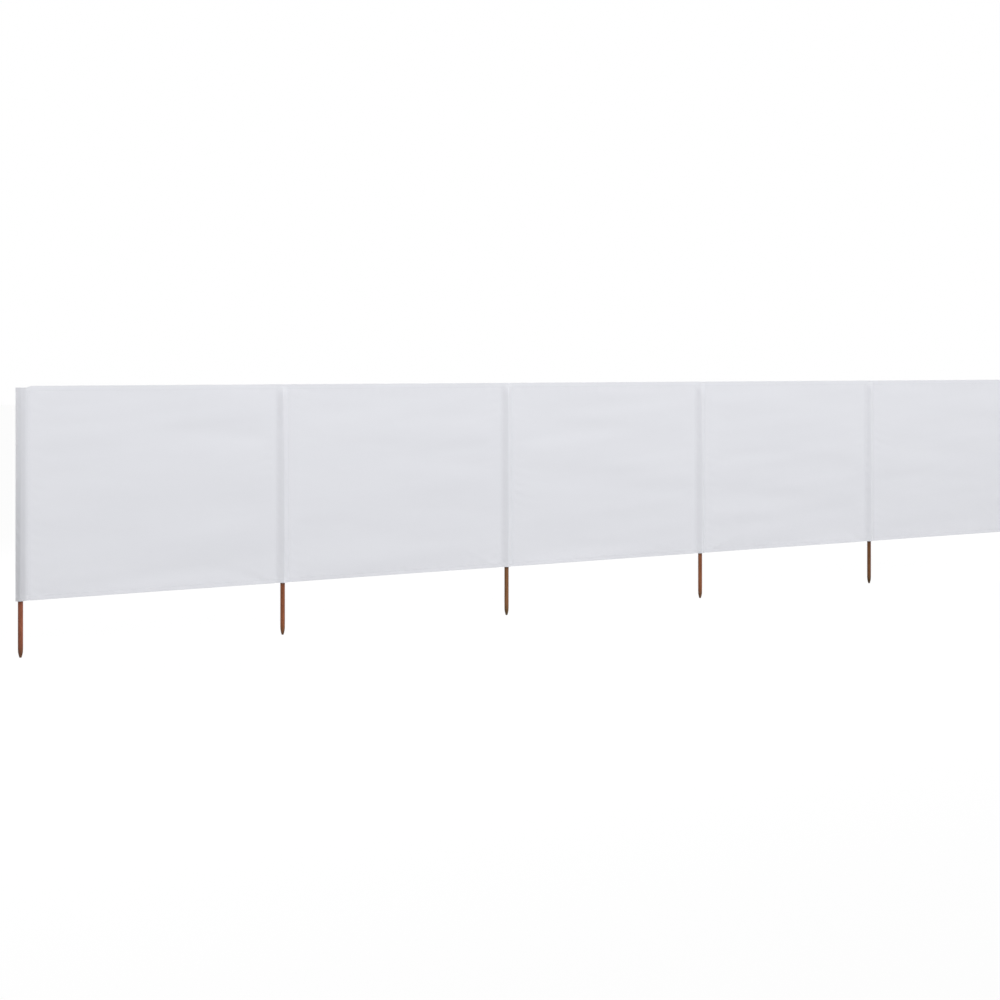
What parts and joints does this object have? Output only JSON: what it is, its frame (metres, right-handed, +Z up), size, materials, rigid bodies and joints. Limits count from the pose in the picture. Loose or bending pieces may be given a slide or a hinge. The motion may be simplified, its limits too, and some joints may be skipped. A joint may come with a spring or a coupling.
{
  "type": "beach windbreak",
  "caption": "Long plain cloth screen stretched in equal bays between pointed round wooden posts, which stand in sewn sleeves and push into sand.",
  "frame": {"origin": "centre of the blunt point of the first post, at the left end seen from the front", "axes": "+X along the cloth from the first post to the last, +Y from the front of the cloth to its back, +Z up along the posts"},
  "size_m": [6, 0.0256, 1.2],
  "materials": {
    "post_wood": "stained, satin",
    "cloth": "plain weave",
    "hem_cloth": "plain weave, folded"
  },
  "bodies": {
    "root": {"post_1": "post_wood", "post_2": "post_wood", "post_3": "post_wood", "post_4": "post_wood", "post_5": "post_wood", "post_6": "post_wood", "sleeve_front_1": "cloth", "sleeve_back_1": "cloth", "sleeve_front_2": "cloth", "sleeve_back_2": "cloth", "sleeve_front_3": "cloth", "sleeve_back_3": "cloth", "sleeve_front_4": "cloth", "sleeve_back_4": "cloth", "sleeve_front_5": "cloth", "sleeve_back_5": "cloth", "sleeve_front_6": "cloth", "sleeve_back_6": "cloth", "panel_1": "cloth", "top_hem_1": "hem_cloth", "bottom_hem_1": "hem_cloth", "panel_2": "cloth", "top_hem_2": "hem_cloth", "bottom_hem_2": "hem_cloth", "panel_3": "cloth", "top_hem_3": "hem_cloth", "bottom_hem_3": "hem_cloth", "panel_4": "cloth", "top_hem_4": "hem_cloth", "bottom_hem_4": "hem_cloth", "panel_5": "cloth", "top_hem_5": "hem_cloth", "bottom_hem_5": "hem_cloth"}
  },
  "joints": []
}
